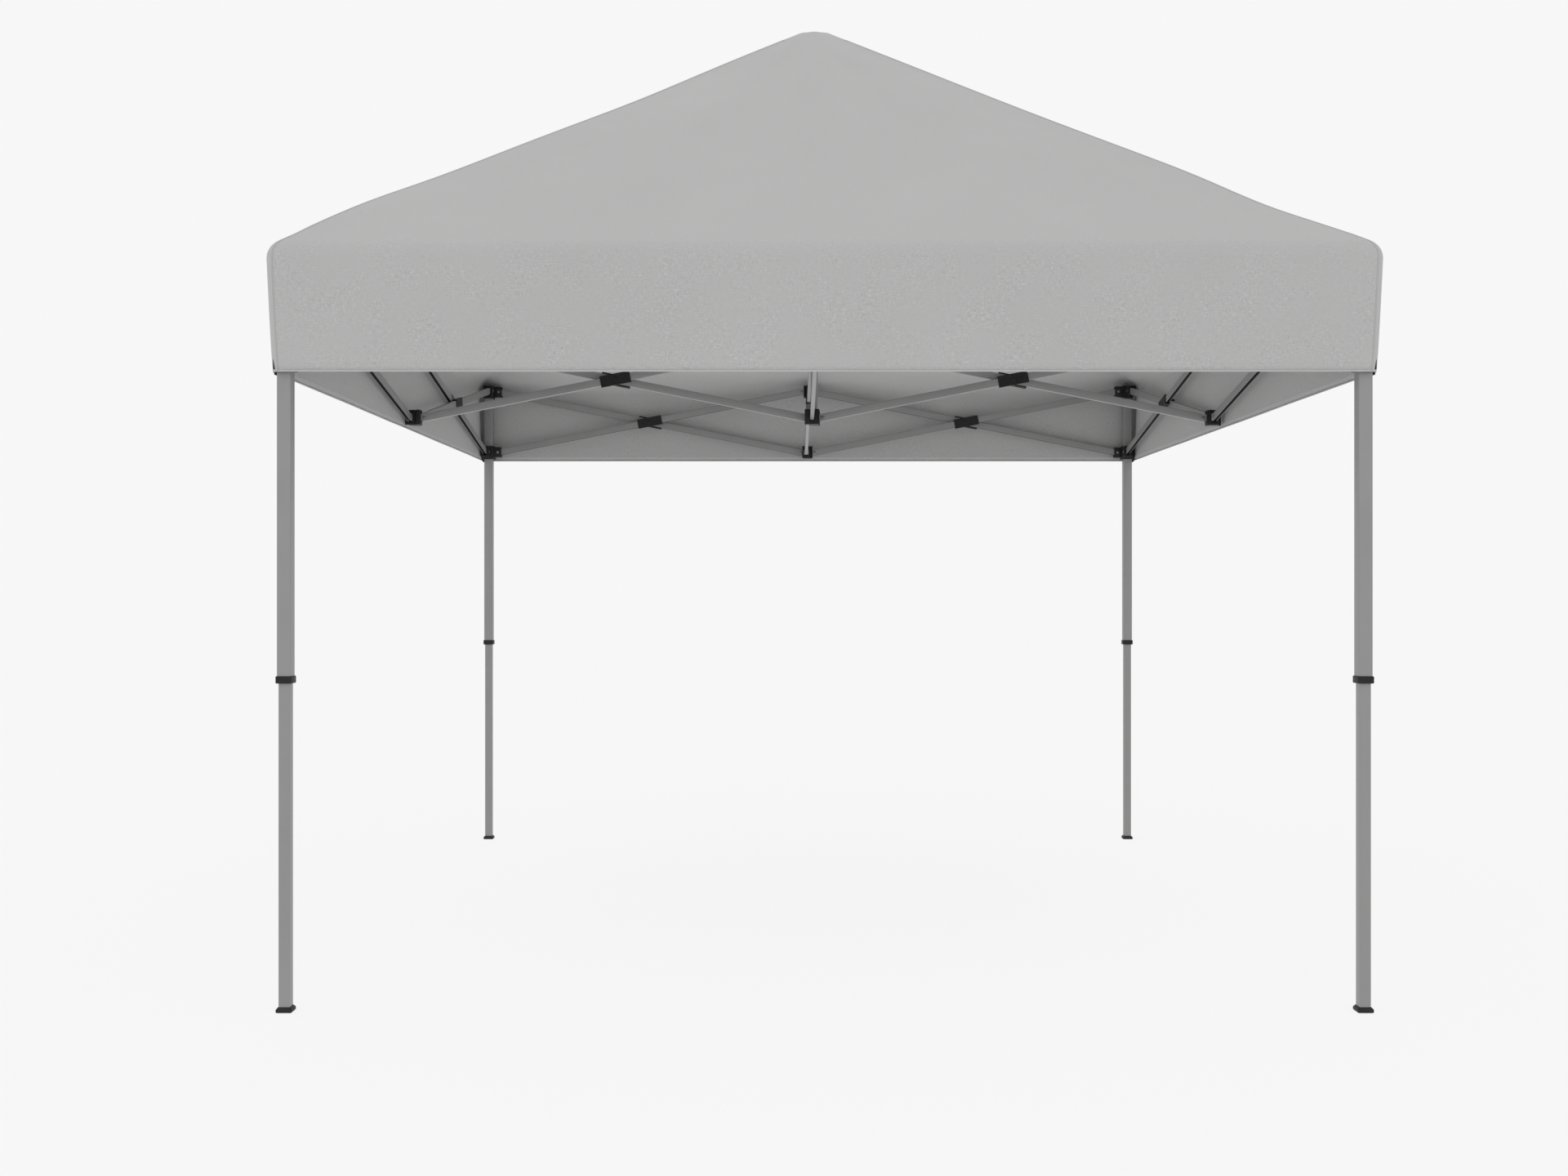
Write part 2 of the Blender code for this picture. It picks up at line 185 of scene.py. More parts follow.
def skin(rings, closed=False, cap=False):
    """A surface through rings of points: each point of a ring joins its like in the next ring.

    closed joins the last ring to the first. cap closes the first and the last with a flat face.
    """
    count = len(rings[0])
    faces = grid_faces(len(rings), count)
    first = np.arange(count)
    last = first + (len(rings) - 1) * count
    if closed:
        faces += np.stack([last, np.roll(last, -1), np.roll(first, -1), first], axis=1).tolist()
    if cap:
        faces += [first[::-1].tolist(), last.tolist()]
    return np.concatenate(rings), faces


def level(outline, origin, axes, distance):
    """Set an outline down in space: origin + distance * path + x * side + y * up."""
    side, up, path = (np.asarray(v, float) for v in axes)
    place = np.asarray(origin, float) + distance * path
    return place + outline[:, :1] * side + outline[:, 1:] * up


def new_piece(name, points, faces, materials, slots=None, sharp=40.0):
    """A mesh object from arrays, its faces turned outwards as given."""
    mesh = bpy.data.meshes.new(name)
    mesh.from_pydata(np.asarray(points).tolist(), [], faces)
    mesh.update()
    for material in materials:
        mesh.materials.append(material)
    if slots is not None:
        mesh.polygons.foreach_set("material_index", np.asarray(slots, dtype=np.int32))
    mesh.shade_smooth()
    mesh.set_sharp_from_angle(angle=math.radians(sharp))
    obj = bpy.data.objects.new(name, mesh)
    bpy.context.scene.collection.objects.link(obj)
    return obj


class Solid:
    """Points and faces gathered from several surfaces, with a material index for each face."""

    def __init__(self):
        self.points, self.faces, self.slots = [], [], []
        self.count = 0

    def add(self, surface, slot=0):
        """Append one surface. slot is one index, or one for each face."""
        points, faces = surface
        self.points.append(np.asarray(points, float))
        self.faces += [[i + self.count for i in face] for face in faces]
        self.slots += [slot] * len(faces) if isinstance(slot, int) else list(slot)
        self.count += len(points)

    def piece(self, name, body, materials, replaced=()):
        """Make the object and let it ride on its body."""
        named = [finish(m) for m in materials]
        obj = new_piece(name, np.concatenate(self.points), self.faces, named, self.slots)
        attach(obj, body)
        if replaced:
            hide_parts(*replaced)
        return obj


def rounded_outline(width, height, radius, steps=4):
    """Outline of a rounded rectangle, anticlockwise.

    Each corner is a quarter circle of that radius about a centre set in by the radius, at
    steps + 1 even angles, and the four quarters are joined by straight lines.
    """
    turn = np.linspace(0, math.pi / 2, steps + 1)
    quarters = []
    for k, (sx, sy) in enumerate(((1, 1), (-1, 1), (-1, -1), (1, -1))):
        a = turn + k * math.pi / 2
        x = sx * (width / 2 - radius) + radius * np.cos(a)
        y = sy * (height / 2 - radius) + radius * np.sin(a)
        quarters.append(np.stack([x, y], axis=1))
    return np.concatenate(quarters)


def square_outline(width, radius=0.0015):
    """A square outline with rounded corners."""
    return rounded_outline(width, width, radius, 5)


def round_outline(radius):
    """A circle at the even angles that match square_outline point for point."""
    a = (np.arange(24) // 6) * math.pi / 2 + (np.arange(24) % 6 + 0.5) * math.pi / 12
    return np.stack([radius * np.cos(a), radius * np.sin(a)], axis=1)


def end_rounding(length, radius):
    """Where the sections of a rounded block stand, and how far each is set in.

    At each end the inset falls from the radius to nothing as a quarter circle:
    inset = radius * (1 - cos a) at the distance radius * (1 - sin a) from the end, a from 90 to 0.
    """
    a = np.linspace(math.pi / 2, 0, 4)
    near = radius * (1 - np.sin(a))
    inset = radius * (1 - np.cos(a))
    return np.concatenate([near, length - near[::-1]]), np.concatenate([inset, inset[::-1]])


def block(centre, size, radius, axes):
    """A box with rounded edges: a rounded outline carried along the third axis."""
    width, height, length = size
    origin = np.asarray(centre, float) - np.asarray(axes[2], float) * length / 2
    rings = []
    for distance, inset in zip(*end_rounding(length, radius)):
        outline = rounded_outline(
            width - 2 * inset, height - 2 * inset, max(radius - inset, 0.0003), 4,
        )
        rings.append(level(outline, origin, axes, distance))
    return skin(rings, cap=True)


def carried(sections, start, axes):
    """Rings of (outline, distance) pairs, each set down at its distance along the third axis."""
    return [level(outline, start, axes, distance) for outline, distance in sections]


def square_tube(base, height, width, wall, corner):
    """A square tube that stands on base: up outside, over the lip and down the bore."""
    lip = wall / 3
    outer = square_outline(width, corner)
    inner = square_outline(width - 2 * wall, max(corner - wall, 0.0005))
    soft = square_outline(width - 2 * lip, corner)
    sections = [
        (soft, 0.0), (outer, lip), (outer, height - lip), (soft, height),
        (inner, height), (inner, 0.0),
    ]
    return skin(carried(sections, base, UPRIGHT), closed=True)


def eased_square(base, outside, height, radius, corner):
    """Rings up the outside of a square block, with its lower and upper edges rounded."""
    return carried([
        (square_outline(outside - 2 * inset, corner), distance)
        for distance, inset in zip(*end_rounding(height, radius))
    ], base, UPRIGHT)


def square_ring(base, outside, bore, height, radius):
    """A square ring: up outside with rounded edges, and down the outline of its bore."""
    inside = carried([(bore, height), (bore, 0.0)], base, UPRIGHT)
    return skin(eased_square(base, outside, height, radius, 0.004) + inside, closed=True)


def square_cap(base, outside, bore, height, ceiling, radius, corner):
    """A square cap that fits over a tube: from the ceiling down its bore, out and up outside."""
    inside = carried([(bore, ceiling), (bore, 0.0)], base, UPRIGHT)
    return skin(inside + eased_square(base, outside, height, radius, corner), cap=True)


def lathe(profile, centre, axis, steps=16):
    """A profile of (distance from axis, distance along it) turned about an axis.

    Point (i, j) is centre + h_i * axis + r_i * (cos a_j * side + sin a_j * up). The first and the
    last radius are nothing, so the surface closes in two poles.
    """
    axis = np.asarray(axis, float)
    axis = axis / np.linalg.norm(axis)
    side = np.cross(axis, (0, 0, 1.0) if abs(axis[2]) < 0.9 else (1.0, 0, 0))
    side = side / np.linalg.norm(side)
    up = np.cross(axis, side)
    a = np.arange(steps) * 2 * math.pi / steps
    around = np.cos(a)[:, None] * side + np.sin(a)[:, None] * up
    profile = np.asarray(profile, float)
    centre = np.asarray(centre, float)
    rings = [centre + h * axis + r * around for r, h in profile[1:-1]]
    points, faces = skin(rings)
    poles = centre + profile[[0, -1], 1:] * axis
    count = len(points)
    ring = np.arange(steps)
    faces += fan(ring[::-1], count) + fan(ring + count - steps, count + 1)
    return np.concatenate([points, poles]), faces


def rivet(centre, axis, radius, height):
    """A low domed rivet head with a flat rim, turned about its axis."""
    profile = [
        (0, -0.0006), (radius, -0.0006), (radius, height * 0.25), (radius * 0.92, height * 0.45),
        (radius * 0.70, height * 0.80), (radius * 0.38, height * 0.96), (0, height),
    ]
    return lathe(profile, centre, axis)


# ---- materials ----
class Socket:
    """A value or vector inside a material, with arithmetic that adds its nodes."""

    def __init__(self, tree, link):
        self.tree = tree
        self.link = link

    def __add__(self, other):
        return self.tree.maths("ADD", self, other)

    def __radd__(self, other):
        return self.tree.maths("ADD", other, self)

    def __sub__(self, other):
        return self.tree.maths("SUBTRACT", self, other)

    def __rsub__(self, other):
        return self.tree.maths("SUBTRACT", other, self)

    def __mul__(self, other):
        return self.tree.maths("MULTIPLY", self, other)

    def __rmul__(self, other):
        return self.tree.maths("MULTIPLY", other, self)

    def __truediv__(self, other):
        return self.tree.maths("DIVIDE", self, other)

    def __rtruediv__(self, other):
        return self.tree.maths("DIVIDE", other, self)


class Nodes:
    """A node tree being built, whose method add makes any node."""

    def __init__(self, tree):
        self.nodes = tree.nodes
        self.links = tree.links

    def add(self, kind, settings=None, values=None, out=0):
        """Make a node: settings first, then the values or links of its sockets."""
        node = self.nodes.new(kind)
        for key, value in (settings or {}).items():
            setattr(node, key, value)
        for key, value in (values or {}).items():
            self.put(node.inputs[key], value)
        return Socket(self, node.outputs[out])

    def put(self, socket, value):
        """Set a socket's value, or link it."""
        if isinstance(value, Socket):
            self.links.new(value.link, socket)
        else:
            socket.default_value = value

    def maths(self, operation, *values):
        """A Math node on one, two or three values."""
        return self.add("ShaderNodeMath", {"operation": operation}, dict(enumerate(values)))

    def split(self, vector):
        """The three parts of a vector."""
        first = self.add("ShaderNodeSeparateXYZ", {}, {0: vector})
        return [Socket(self, part) for part in first.link.node.outputs]

    def between(self, value, a, b, c=0.0, d=1.0):
        """Bring a value from the range a to b into the range c to d, clamped."""
        values = {"Value": value, "From Min": a, "From Max": b, "To Min": c, "To Max": d}
        return self.add("ShaderNodeMapRange", {}, values)


class Finish(Nodes):
    """A material being built."""

    def __init__(self, name):
        self.material = bpy.data.materials.new(name)
        self.material.use_nodes = True
        super().__init__(self.material.node_tree)
        self.shader = self.nodes["Principled BSDF"]

    def set(self, **values):
        """Set the shader's sockets by name, with _ for a space."""
        for key, value in values.items():
            self.put(self.shader.inputs[key.replace("_", " ")], value)

    def where(self):
        """Object coordinates."""
        return self.add("ShaderNodeTexCoord", out="Object")

    def noise(self, vector, scale, detail=3.0, roughness=0.5):
        """Noise from 0 to 1."""
        values = {"Vector": vector, "Scale": scale, "Detail": detail, "Roughness": roughness}
        return self.add("ShaderNodeTexNoise", {}, values)

    def stretch(self, vector, x, y, z=1.0):
        """A vector multiplied by one scale for each axis."""
        scales = {0: vector, 1: (x, y, z)}
        return self.add("ShaderNodeVectorMath", {"operation": "MULTIPLY"}, scales)

    def blend(self, factor, a, b):
        """Mix two colours."""
        return self.add("ShaderNodeMix", {"data_type": "RGBA"}, {0: factor, 6: a, 7: b}, 2)

    def mottle(self, cloud, color, dark, light, start=0.3, end=0.7):
        """A colour that turns from a darker to a lighter tone of itself with a noise."""
        return self.blend(self.between(cloud, start, end), tone(color, dark), tone(color, light))

    def stitches(self, u, v, distance):
        """A mask of one row of stitches, at its distance across the cloth."""
        row = self.maths("COMPARE", v, distance, 0.0005)
        return row * self.maths("LESS_THAN", self.maths("FRACT", u / STITCH_PITCH), 0.72)

    def relief(self, height, strength, distance):
        """A bump into the shader's normal."""
        values = {"Height": height, "Strength": strength, "Distance": distance}
        self.set(Normal=self.add("ShaderNodeBump", {}, values))


def tone(color, factor):
    """A colour scaled in brightness, with alpha."""
    return (*(part * factor for part in color), 1.0)


MATERIALS = {}
BACKDROP = 0.931        # brightness of the surround and floor
LOWER_LIGHT = 0.80      # light that comes up from just below the horizon
NADIR_LIGHT = 0.42      # how much more comes from straight below
STITCH_PITCH = 0.0038   # from one stitch to the next


def woven_fabric(color):
    """Coated polyester canvas: a plain weave in relief, flecks in the yarn and faint creases.

    Its pattern is in metres round and up the cloth. The slack valance shows its flecks, in
    patches, and the taut roof hardly does.
    """
    f = Finish("canopy_fabric")
    uv = f.add("ShaderNodeUVMap", {"uv_map": "cloth"})
    u, v, _ = f.split(uv)
    turn = 2 * math.pi / 0.0016
    weave = f.maths("SINE", u * turn) * f.maths("SINE", v * turn)
    fleck = f.noise(f.stretch(uv, 75.0, 260.0), 1.0, 4.0, 0.65)
    yarn = f.noise(f.stretch(uv, 300.0, 70.0), 1.0, 4.0, 0.65)
    cloud = f.noise(uv, 2.2, 4.0, 0.55)
    crease = f.noise(uv, 9.0, 3.0, 0.6)
    patch = f.between(crease, 0.40, 0.62, 0.25, 1.0)
    slack = f.between(v, 0.26, 0.42, 1.0, 0.22) * patch
    base = f.mottle(cloud, color, 0.975, 1.015)
    base = f.blend(f.between(fleck, 0.50, 0.68) * slack * 0.80, base, tone(color, 1.30))
    base = f.blend(f.between(yarn, 0.50, 0.68) * slack * 0.80, base, tone(color, 0.75))
    base = f.blend(f.stitches(u, v, 0.0210) * 0.4, base, tone(color, 0.72))
    f.set(Base_Color=base, Roughness=f.between(cloud, 0.2, 0.8, 0.86, 0.94))
    f.set(Sheen_Weight=0.12, Sheen_Roughness=0.6, Specular_IOR_Level=0.25)
    f.relief(weave * 0.25 + fleck * slack * 0.9 + crease * 1.2 + cloud * 1.6, 0.30, 0.0016)
    return f.material


def powder_coat(color):
    """Grey powder coat on steel tube: fine orange peel, slight cloudiness and scuffs."""
    f = Finish("powder_coat")
    where = f.where()
    peel = f.noise(where, 900.0, 2.0, 0.5)
    cloud = f.noise(where, 7.0, 3.0, 0.55)
    scuff = f.noise(f.stretch(where, 160.0, 160.0, 9.0), 1.0, 3.0, 0.6)
    mark = f.between(scuff, 0.66, 0.80)
    base = f.mottle(cloud, color, 0.97, 1.03)
    base = f.blend(mark * 0.10, base, tone(color, 1.35))
    f.set(Base_Color=base, Roughness=f.between(cloud, 0.2, 0.8, 0.42, 0.52) + mark * 0.08)
    f.set(Metallic=0.10, Coat_Weight=0.10, Coat_Roughness=0.35)
    f.relief(peel, 0.10, 0.0004)
    return f.material


def moulded_plastic(color):
    """Black moulded nylon: a fine spark-eroded grain, with worn, paler patches."""
    f = Finish("moulded_plastic")
    where = f.where()
    grain = f.noise(where, 1400.0, 2.0, 0.6)
    cloud = f.noise(where, 30.0, 3.0, 0.5)
    base = f.mottle(cloud, color, 0.85, 1.30, 0.35, 0.75)
    base = f.blend(f.between(grain, 0.62, 0.8) * 0.15, base, tone(color, 2.6))
    f.set(Base_Color=base, Roughness=f.between(cloud, 0.2, 0.8, 0.46, 0.60))
    f.set(Specular_IOR_Level=0.28)
    f.relief(grain, 0.12, 0.0003)
    return f.material


def plated_steel(color):
    """Zinc plated rivets gone dull: grey, with a mottled plating."""
    f = Finish("plated_steel")
    where = f.where()
    cloud = f.noise(where, 260.0, 3.0, 0.6)
    base = f.mottle(cloud, color, 0.85, 1.1)
    f.set(Base_Color=base, Roughness=f.between(cloud, 0.2, 0.8, 0.38, 0.54), Metallic=0.5)
    f.relief(cloud, 0.08, 0.0002)
    return f.material


def webbing(color):
    """Seam binding: a ribbed tape with a row of stitches near its edges.

    Its pattern's second coordinate is the distance in from the nearer edge.
    """
    f = Finish("seam_binding")
    uv = f.add("ShaderNodeUVMap", {"uv_map": "cloth"})
    u, v, _ = f.split(uv)
    rib = f.maths("SINE", u * (2 * math.pi / 0.0022))
    wobble = f.noise(uv, 60.0, 3.0, 0.6)
    cloud = f.noise(uv, 2.2, 4.0, 0.55)
    stitch = f.stitches(u, v, 0.0035)
    base = f.mottle(cloud, color, 0.975, 1.015)
    base = f.blend(f.between(wobble, 0.55, 0.8) * 0.25, base, tone(color, 1.12))
    base = f.blend(stitch * 0.8, base, tone(color, 0.72))
    f.set(Base_Color=base, Roughness=f.between(wobble, 0.2, 0.8, 0.84, 0.93))
    f.set(Sheen_Weight=0.12, Specular_IOR_Level=0.25)
    f.relief(rib * 0.3 + wobble + stitch * 1.5, 0.25, 0.0008)
    return f.material


def pale_floor():
    """Studio floor: a pale glowing sweep that takes only the faintest shadow."""
    f = Finish("studio_floor")
    cloud = f.noise(f.where(), 0.6, 2.0, 0.5)
    white = (1.0, 1.0, 1.0)
    base = f.blend(cloud, tone(white, 0.079), tone(white, 0.081))
    f.set(Base_Color=base, Roughness=0.95, Specular_IOR_Level=0.0)
    f.set(Emission_Color=tone(white, 1.0), Emission_Strength=BACKDROP - 0.0765)
    return f.material


def painted_shade_inside(color):
    """The inside of a channel with painted shade: a dark colour that stands in for the shade in
    the recess, with a faint mottle.
    """
    f = Finish("channel_inside_painted_shade")
    cloud = f.noise(f.where(), 22.0, 3.0, 0.6)
    base = f.mottle(cloud, color, 0.85, 1.2)
    f.set(Base_Color=base, Roughness=f.between(cloud, 0.2, 0.8, 0.6, 0.8))
    return f.material


def finish(name):
    """One shared material of each kind, made when it is first asked for."""
    if name not in MATERIALS:
        colours = bpy.context.scene.canopy_colours
        makers = {
            "fabric": lambda: woven_fabric(colours.fabric),
            "coat": lambda: powder_coat(colours.coating),
            "plastic": lambda: moulded_plastic(colours.plastic),
            "steel": lambda: plated_steel(colours.steel),
            "binding": lambda: webbing(colours.fabric),
            # Painted shade: the channel's inside is the coat's colour darkened to 0.14.
            "inside": lambda: painted_shade_inside(tuple(0.14 * c for c in colours.coating)),
            "floor": pale_floor,
        }
        MATERIALS[name] = makers[name]()
    return MATERIALS[name]


# ---- canopy cloth ----
ROOF_START = 2.084      # height from which the roof comes down with the pole
PLEATS = 5              # pleats of the closed cloth in half a side
PLEAT_LAG = 0.105       # how much less a pleat's ridge follows the legs
POLE_SHARE = 0.95       # how much of the pole's travel the peak follows
HEM_FOLD = 0.004        # height of the hem's folded edge


def smooth_step(t):
    """0 below 0, 1 above 1, and 3t^2 - 2t^3 between."""
    t = np.clip(t, 0, 1)
    return t * t * (3 - 2 * t)


def hump(t, middle, width):
    """A bell: e to the minus square of the distance from its middle over its width."""
    return np.exp(-(((t - middle) / width) ** 2))


def rounded_square(half, corner, straight_steps, corner_steps):
    """Points round squares of given half widths with rounded corners, as arrays x, y.

    Each side is a straight run at even steps, and each corner a quarter circle. half and corner
    have one value for each ring.
    """
    half = np.asarray(half, float)[:, None]
    corner = np.asarray(corner, float)[:, None]
    t = np.linspace(-1, 1, straight_steps + 1)[None, :]
    a = (np.arange(1, corner_steps) * math.pi / 2 / corner_steps)[None, :]
    flat = half - corner
    run = np.concatenate([t * flat, flat + corner * np.sin(a)], axis=1)
    out = np.concatenate([half + 0 * t, flat + corner * np.cos(a)], axis=1)
    x, y = [], []
    for k in range(4):
        c, s = math.cos(k * math.pi / 2), math.sin(k * math.pi / 2)
        x.append(c * out - s * run)
        y.append(s * out + c * run)
    return np.concatenate(x, axis=1), np.concatenate(y, axis=1)


class Cloth:
    """The canopy's surface: rings from the hem up the valance, over the eave and to the peak.

    The eave is an arc that turns from upright into the roof's slope. The roof is straight along
    the hips but for shallow waves, and hangs a little in between them.
    """

    STRAIGHT = 96           # steps along one side
    CORNER = 6              # steps round one corner
    ARC = 0.065             # radius of the eave's fold
    TOP_HALF = 0.060        # half width at which the rounded top begins
    TOP_Z = PEAK_Z - 0.0035

    def __init__(self, sizes):
        slope = math.atan(sizes.roof_slope)
        turn = math.pi / 2 - slope
        hem = np.linspace(0, 1, 15)
        half = sizes.hem_half + (sizes.eave_half - sizes.hem_half) * hem ** 0.8
        z = HEM_Z + (sizes.eave_height - HEM_Z) * hem
        a = np.linspace(0, turn, 9)[1:]
        fold_half = sizes.eave_half - self.ARC * (1 - np.cos(a))
        fold_z = sizes.eave_height + self.ARC * np.sin(a)
        part = np.linspace(0, 1, 47)[1:]
        roof_half = fold_half[-1] + (self.TOP_HALF - fold_half[-1]) * part
        roof_z = fold_z[-1] + (fold_half[-1] - self.TOP_HALF) * sizes.roof_slope * part
        cap_half = self.TOP_HALF * np.array([0.82, 0.62, 0.42, 0.24, 0.10])
        top = roof_z[-1]
        cap_z = top + (self.TOP_Z - top) * (1 - (cap_half / self.TOP_HALF) ** 2)
        self.half = np.concatenate([half, fold_half, roof_half, cap_half])
        self.z = np.concatenate([z, fold_z, roof_z, cap_z])
        self.corner = np.concatenate([
            0.030 + 0 * hem, 0.030 - 0.007 * a / turn, 0.023 + 0.005 * part, cap_half * 0.98,
        ])
        self.part = np.concatenate([0 * hem, 0 * a, part, 1 + 0 * cap_half])
        self.drop = np.concatenate([1 - hem, 0 * a, 0 * part, 0 * cap_half])
        self.eave_row = len(half)
        self.patch_row = len(half) + len(a) + int(len(part) * 0.93)
        self.build()

    def build(self):
        """Points, and the distance along and up the cloth, used as its pattern coordinates."""
        x, y = rounded_square(self.half, self.corner, self.STRAIGHT, self.CORNER)
        part, drop = self.part[:, None], self.drop[:, None]
        side = np.maximum(np.abs(x), np.abs(y))
        on_side = np.minimum(np.abs(x), np.abs(y)) / np.maximum(side, 1e-6)
        near_hip = smooth_step((on_side - 0.45) / 0.55)
        left = 0.011 * hump(part, 0.12, 0.10) - 0.0075 * hump(part, 0.62, 0.16)
        right = -0.012 * hump(part, 0.15, 0.09) - 0.0065 * hump(part, 0.55, 0.28)
        wave = np.where(x * np.where(y < 0, 1, -1) < 0, left, right) * smooth_step(part / 0.05)
        hang = -0.014 * np.sin(math.pi * part) * (1 - on_side ** 2.5)
        z = self.z[:, None] + (wave * near_hip + hang) * (part < 1)
        run = np.where(np.abs(x) > np.abs(y), y, x)
        ripple = 0.0006 * np.sin(run * 7.3 + 0.8) + 0.0003 * np.sin(run * 17.0 + 2.1)
        free = 1 - smooth_step((on_side - 0.93) / 0.05)
        pull = (0.0012 * (1 - on_side ** 4) + ripple * free) * drop ** 1.3
        inward = 1 - pull / np.maximum(side, 0.2)
        on_x = np.abs(x) >= np.abs(y)
        x, y = np.where(on_x, x * inward, x), np.where(on_x, y, y * inward)
        self.grid = np.stack([x, y, z + 0 * x], axis=-1)
        up = np.linalg.norm(np.diff(self.grid, axis=0), axis=-1)
        self.v = np.concatenate([np.zeros((1, x.shape[1])), np.cumsum(up, axis=0)])
        ring = self.grid[self.eave_row]
        step = np.linalg.norm(np.roll(ring, -1, axis=0) - ring, axis=-1)
        self.u = np.concatenate([[0], np.cumsum(step)])[:-1]
        self.girth = float(step.sum())
        along = np.roll(self.grid, -1, axis=1) - np.roll(self.grid, 1, axis=1)
        upward = np.gradient(self.grid, axis=0)
        normal = np.cross(along, upward)
        self.normal = normal / np.linalg.norm(normal, axis=-1, keepdims=True)
        self.peak = np.array([[0, 0, self.TOP_Z]])

    def lifted(self, rows, columns, height):
        """Part of the surface, moved out along its normals."""
        at = np.ix_(rows, columns)
        return self.grid[at] + height * self.normal[at]

    def with_peak(self, first, height):
        """Rings from one row to the last, closed at the peak, with their u and v."""
        rows = np.arange(first, len(self.grid))
        columns = np.arange(self.grid.shape[1])
        points = self.lifted(rows, columns, height).reshape(-1, 3)
        faces = grid_faces(len(rows), len(columns))
        faces += fan(columns + len(points) - len(columns), len(points))
        u = np.append(np.tile(self.u, len(rows)), 0.0)
        v = np.append(self.v[rows].ravel(), self.v[-1, 0])
        return np.concatenate([points, self.peak + [[0, 0, height]]]), faces, u, v


def roof_weights(points):
    """How much each point of the cloth follows each corner, each middle and the peak pole.

    With X and Y the place over the leg spacing, a point follows the corner it is nearest by
    |X| * |Y|, and the middle of its side by |X| * (1 - |Y|) or |Y| * (1 - |X|), so it closes up
    exactly as the frame does. Between the legs ridges of the cloth lag behind, which makes
    pleats, and the pole takes the roof down by its height above the eave. The share is a
    little less than one, so that the closed roof comes to rest on the hub.
    """
    big_x = np.clip(points[:, 0] / SPAN, -1, 1)
    big_y = np.clip(points[:, 1] / SPAN, -1, 1)
    ax, ay = np.abs(big_x), np.abs(big_y)
    share = np.clip((points[:, 2] - ROOF_START) / (PEAK_Z - ROOF_START), 0, 1)
    out = np.maximum(ax, ay)
    along = np.minimum(ax, ay)
    pleat = 0.5 - 0.5 * np.cos(2 * math.pi * PLEATS * along)
    lag = 1 - PLEAT_LAG * pleat * smooth_step((out - 0.55) / 0.4)
    weights = {}
    for name, (sx, sy) in CORNERS.items():
        near = (big_x * sx >= 0) & (big_y * sy >= 0)
        weights["leg_" + name] = np.where(near, ax * ay * lag, 0)
    for name, yaw in MIDS.items():
        dx, dy = round(math.cos(math.radians(yaw))), round(math.sin(math.radians(yaw)))
        if dx:
            near, value = big_x * dx > 0, ax * (1 - ay)
        else:
            near, value = big_y * dy > 0, ay * (1 - ax)
        weights["mid_upper_" + name] = np.where(near, value * lag, 0)
    weights["lower_hub"] = POLE_SHARE * share
    return weights


def follow(obj, weights):
    """Let a sheet's points follow several bodies by hooks, which are at rest in the open pose."""
    for body, values in weights.items():
        group = obj.vertex_groups.new(name="with_" + body)
        quantised = np.round(values, 3)
        for value in np.unique(quantised[quantised > 0]):
            chosen = np.flatnonzero(quantised == value)
            group.add(chosen.tolist(), float(value), "REPLACE")
        hook = obj.modifiers.new("with_" + body, "HOOK")
        hook.object = frame["bodies"][body]
        hook.vertex_group = group.name
        hook.strength = 1.0
        hook.matrix_inverse = frame["bodies"][body].matrix_world.inverted() @ obj.matrix_world


def pattern(obj, u, v, girth=None):
    """Lay a UV map called cloth, in metres along and up the sheet, from values at each point.

    Where the sheet closes on itself, girth is its length round, so its last column doesn't fold
    back.
    """
    layer = obj.data.uv_layers.new(name="cloth")
    corner = np.zeros(len(obj.data.loops), dtype=np.int64)
    obj.data.loops.foreach_get("vertex_index", corner)
    uv = np.stack([u[corner], v[corner]], axis=1)
    if girth is not None:
        starts = np.zeros(len(obj.data.polygons), dtype=np.int64)
        totals = np.zeros(len(obj.data.polygons), dtype=np.int64)
        obj.data.polygons.foreach_get("loop_start", starts)
        obj.data.polygons.foreach_get("loop_total", totals)
        face = np.repeat(np.arange(len(starts)), totals)
        furthest = np.maximum.reduceat(uv[:, 0], starts)
        uv[:, 0] += np.where(furthest[face] - uv[:, 0] > girth / 2, girth, 0)
    layer.data.foreach_set("uv", uv.astype(np.float32).ravel())


def sew(name, points, faces, material, thickness, u, v, girth=None):
    """Finish a fabric piece: pattern, motion with the frame, and thickness."""
    obj = new_piece(name, points, faces, [finish(material)], sharp=180.0)
    pattern(obj, u, v, girth)
    follow(obj, roof_weights(np.asarray(points)))
    shell = obj.modifiers.new("thickness", "SOLIDIFY")
    shell.thickness = thickness
    shell.offset = 0.0
    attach(obj, "roof_hub")
    return obj


